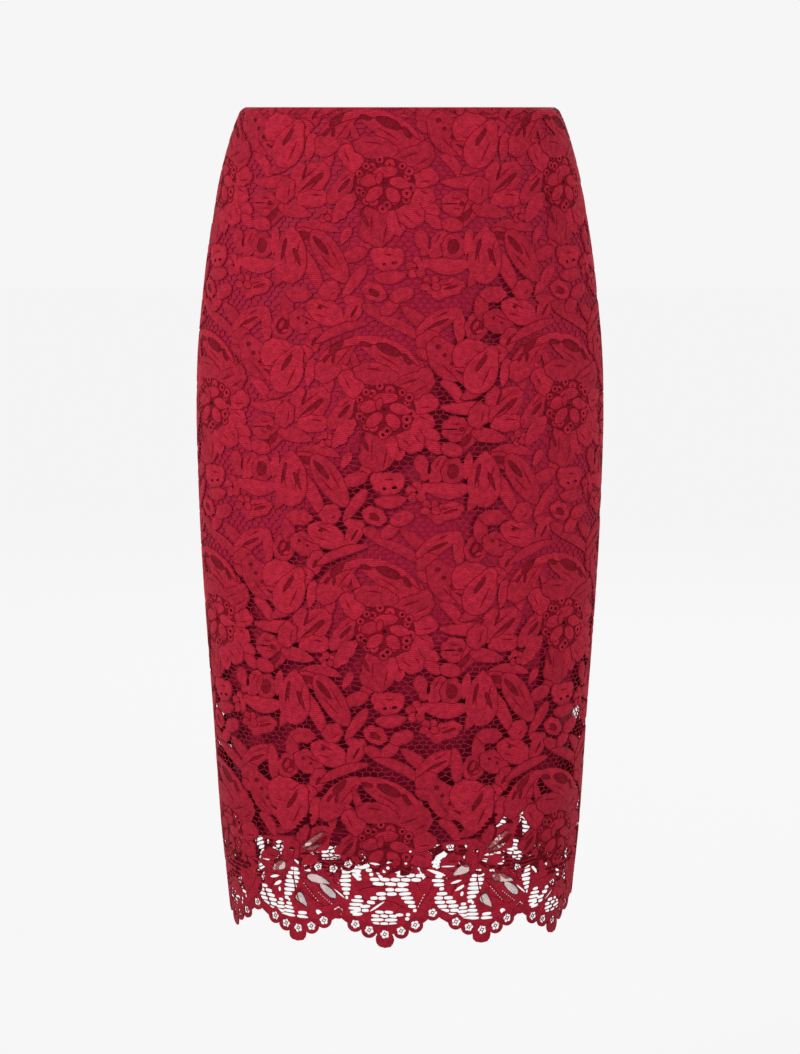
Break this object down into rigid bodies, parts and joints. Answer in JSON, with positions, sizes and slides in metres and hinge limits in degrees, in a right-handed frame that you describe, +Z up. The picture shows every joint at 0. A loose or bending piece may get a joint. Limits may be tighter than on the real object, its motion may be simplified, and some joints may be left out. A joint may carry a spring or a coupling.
{
  "type": "lace pencil skirt",
  "caption": "Knee-length fitted lace pencil skirt over a shorter lining, with a scalloped hem and a concealed centre-back zip, filled out as it hangs when worn.",
  "frame": {"origin": "middle of the waist opening, level with the turned top edge of the lace", "axes": "+Z up, -Y towards the front of the skirt, +X towards the wearer's left"},
  "size_m": [0.3468, 0.2328, 0.6989],
  "materials": {
    "lace": "floral corded lace, matt with a slight sheen",
    "lining": "smooth raspberry lining",
    "zip_tape": "fine woven tape",
    "zip_coil": "dyed monofilament coil",
    "zip_metal": "glossy paint to match the lace"
  },
  "bodies": {
    "skirt": {"lace_front": "lace", "lace_back_left": "lace", "lace_back_right": "lace", "lining_front": "lining", "lining_back_left": "lining", "lining_back_right": "lining", "zip_tape_left": "zip_tape", "zip_tape_right": "zip_tape", "zip_coil": "zip_coil", "zip_top_stop_left": "zip_metal", "zip_top_stop_right": "zip_metal", "zip_bottom_stop": "zip_metal", "zip_slider": "zip_metal"},
    "pull_tab": {"zip_pull_tab": "zip_metal"}
  },
  "joints": [
    {"name": "pull_tab_turn", "type": "hinge", "parent": "skirt", "child": "pull_tab", "pos_m": [0, 0.09604, -0.01073], "axis": [1, 0, 0], "range_deg": [0, 170]}
  ]
}
